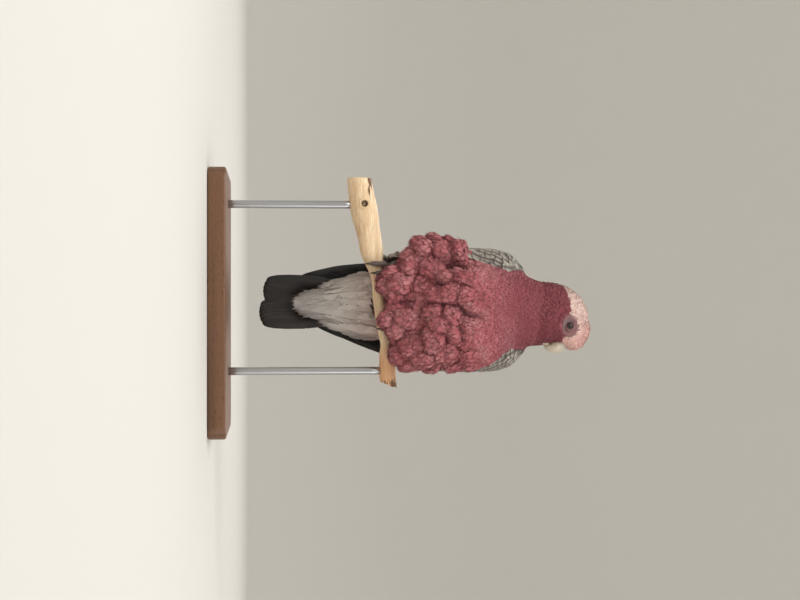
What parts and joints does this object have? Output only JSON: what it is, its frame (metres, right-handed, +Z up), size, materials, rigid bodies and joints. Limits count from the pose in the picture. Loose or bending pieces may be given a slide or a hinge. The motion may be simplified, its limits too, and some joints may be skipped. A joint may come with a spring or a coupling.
{
  "type": "life-size bird model",
  "caption": "Life-size still model of a galah, a rose-breasted cockatoo, perched upright with ruffled breast plumage and head turned, gripping a cut branch held by a plain display stand.",
  "frame": {"origin": "middle of the underside of the display stand's base", "axes": "+Z up; the bird faces -Y with its head turned to +X, its own left"},
  "size_m": [0.262, 0.176, 0.3865],
  "materials": {
    "rose_plumage": "matt, soft barbed feathers",
    "head_plumage": "matt, fine short feathers, pale cap over rose cheeks",
    "grey_plumage": "matt, firm feathers with pale edges",
    "flight_feathers": "smooth, faint sheen along the barbs",
    "undertail_plumage": "matt, long soft feathers",
    "bill_horn": "smooth horn with a low sheen",
    "glass_eye": "polished",
    "foot_skin": "dry scales",
    "claw_horn": "smooth horn",
    "branch_wood": "stripped of most of its bark, dry",
    "base_wood": "oiled hardwood, satin",
    "rod_steel": "brushed"
  },
  "bodies": {
    "root": {"trunk": "rose_plumage", "neck": "rose_plumage", "head": "head_plumage", "right_wing": "grey_plumage", "left_wing": "grey_plumage", "right_primaries": "flight_feathers", "left_primaries": "flight_feathers", "tail": "flight_feathers", "undertail_coverts": "undertail_plumage", "upper_bill": "bill_horn", "lower_bill": "bill_horn", "right_eye": "glass_eye", "left_eye": "glass_eye", "right_leg": "foot_skin", "left_leg": "foot_skin", "right_claw_outer_front": "claw_horn", "right_claw_inner_front": "claw_horn", "right_claw_outer_back": "claw_horn", "right_claw_inner_back": "claw_horn", "left_claw_outer_front": "claw_horn", "left_claw_inner_front": "claw_horn", "left_claw_outer_back": "claw_horn", "left_claw_inner_back": "claw_horn", "perch": "branch_wood", "stand_base": "base_wood", "stand_rod_1": "rod_steel", "stand_rod_2": "rod_steel"}
  },
  "joints": []
}
